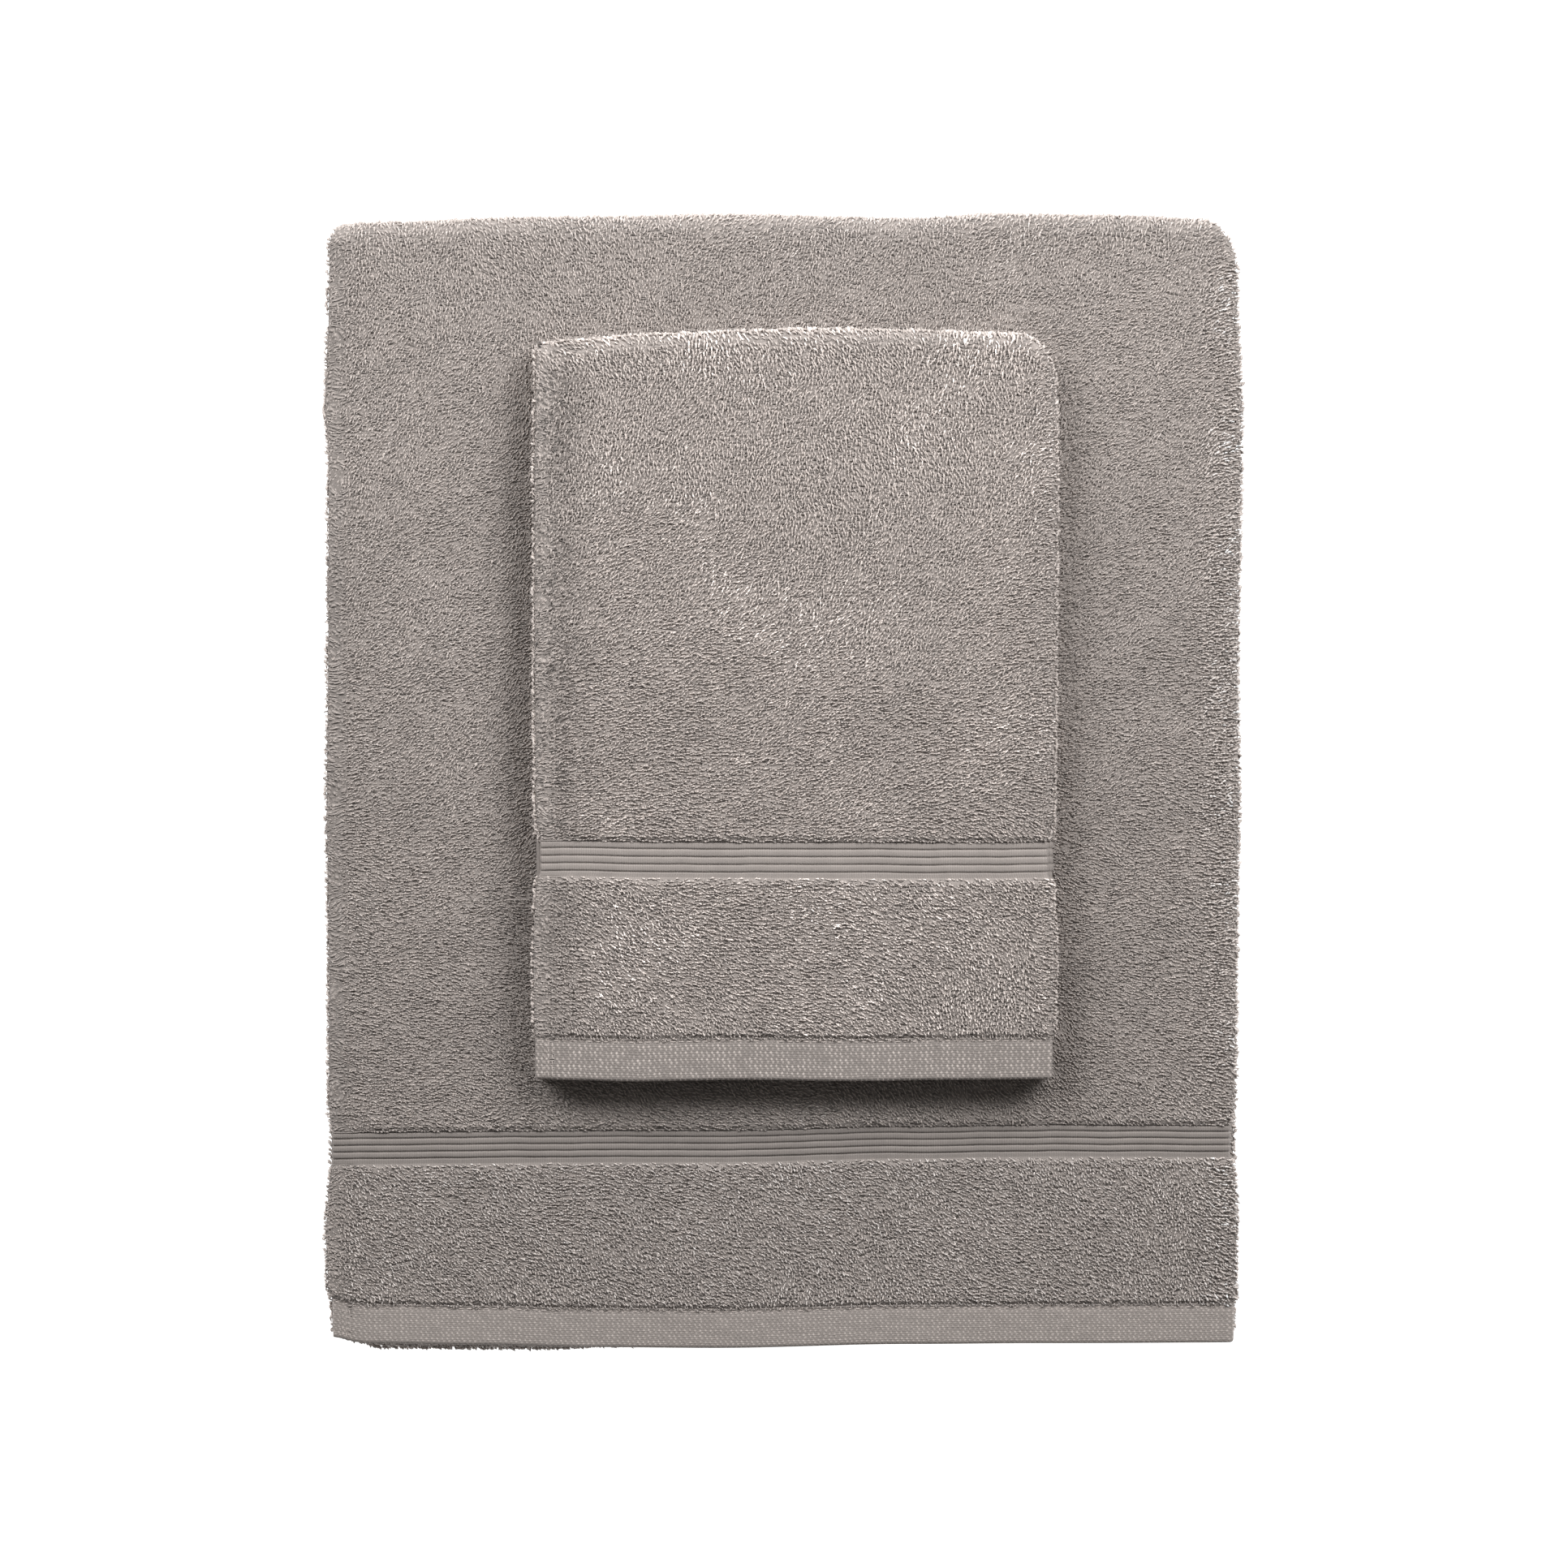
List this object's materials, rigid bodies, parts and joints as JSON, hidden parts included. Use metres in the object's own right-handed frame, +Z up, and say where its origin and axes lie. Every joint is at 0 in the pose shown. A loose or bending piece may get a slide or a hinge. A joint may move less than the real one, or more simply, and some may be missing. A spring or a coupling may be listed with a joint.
{
  "type": "towel set",
  "caption": "Folded terry bath towel with a smaller folded terry guest towel on top, both with a ribbed border and a flat end hem.",
  "frame": {"origin": "on the resting surface, under the middle of the folded bath towel", "axes": "+Z up, +X to the side with the lengthwise folds, -Y to the end with the visible hems"},
  "size_m": [0.35, 0.4336, 0.0357],
  "materials": {
    "bath_terry": "warm grey cotton terry with dense uncut loops",
    "guest_terry": "warm grey cotton terry with slightly larger uncut loops",
    "border_weave": "flat ribbed woven border",
    "end_hem_weave": "flat twill-weave hem",
    "side_hem_weave": "turned and stitched edge of the terry",
    "sewing_thread": "matching cotton sewing thread"
  },
  "bodies": {
    "bath_base": {"bath_middle_panel": "bath_terry", "bath_middle_side_hem_upper": "side_hem_weave", "bath_middle_side_hem_lower": "side_hem_weave", "bath_front_fold": "bath_terry", "bath_back_fold": "bath_terry", "bath_inner_terry_field": "bath_terry", "bath_inner_border": "border_weave", "bath_inner_terry_band": "bath_terry", "bath_inner_end_hem": "end_hem_weave", "bath_inner_side_hem_upper": "side_hem_weave", "bath_inner_side_hem_lower": "side_hem_weave", "bath_inner_hem_stitching": "sewing_thread"},
    "bath_flap": {"bath_flap_terry_field": "bath_terry", "bath_flap_border": "border_weave", "bath_flap_terry_band": "bath_terry", "bath_flap_end_hem": "end_hem_weave", "bath_flap_side_hem_upper": "side_hem_weave", "bath_flap_side_hem_lower": "side_hem_weave", "bath_flap_hem_stitching": "sewing_thread"},
    "guest_base": {"guest_lower_terry_field": "guest_terry", "guest_lower_border": "border_weave", "guest_lower_terry_band": "guest_terry", "guest_lower_end_hem": "end_hem_weave", "guest_lower_side_hem_upper": "side_hem_weave", "guest_lower_side_hem_lower": "side_hem_weave", "guest_lower_hem_stitching": "sewing_thread", "guest_back_fold": "guest_terry"},
    "guest_flap": {"guest_upper_terry_field": "guest_terry", "guest_upper_border": "border_weave", "guest_upper_terry_band": "guest_terry", "guest_upper_end_hem": "end_hem_weave", "guest_upper_side_hem_upper": "side_hem_weave", "guest_upper_side_hem_lower": "side_hem_weave", "guest_upper_hem_stitching": "sewing_thread"}
  },
  "joints": [
    {"name": "bath_flap_hinge", "type": "hinge", "parent": "bath_base", "child": "bath_flap", "pos_m": [0, 0.20602, 0.01065], "axis": [-1, 0, 0], "range_deg": [0, 30], "deforming": ["bath_back_fold"]},
    {"name": "guest_lift", "type": "slide", "parent": "bath_flap", "child": "guest_base", "axis": [0, 0, 1], "range_m": [0, 0.25]},
    {"name": "guest_open", "type": "hinge", "parent": "guest_base", "child": "guest_flap", "pos_m": [0.0048, 0.16445, 0.02865], "axis": [-1, 0, 0], "range_deg": [0, 179.9], "deforming": ["guest_back_fold"]}
  ]
}
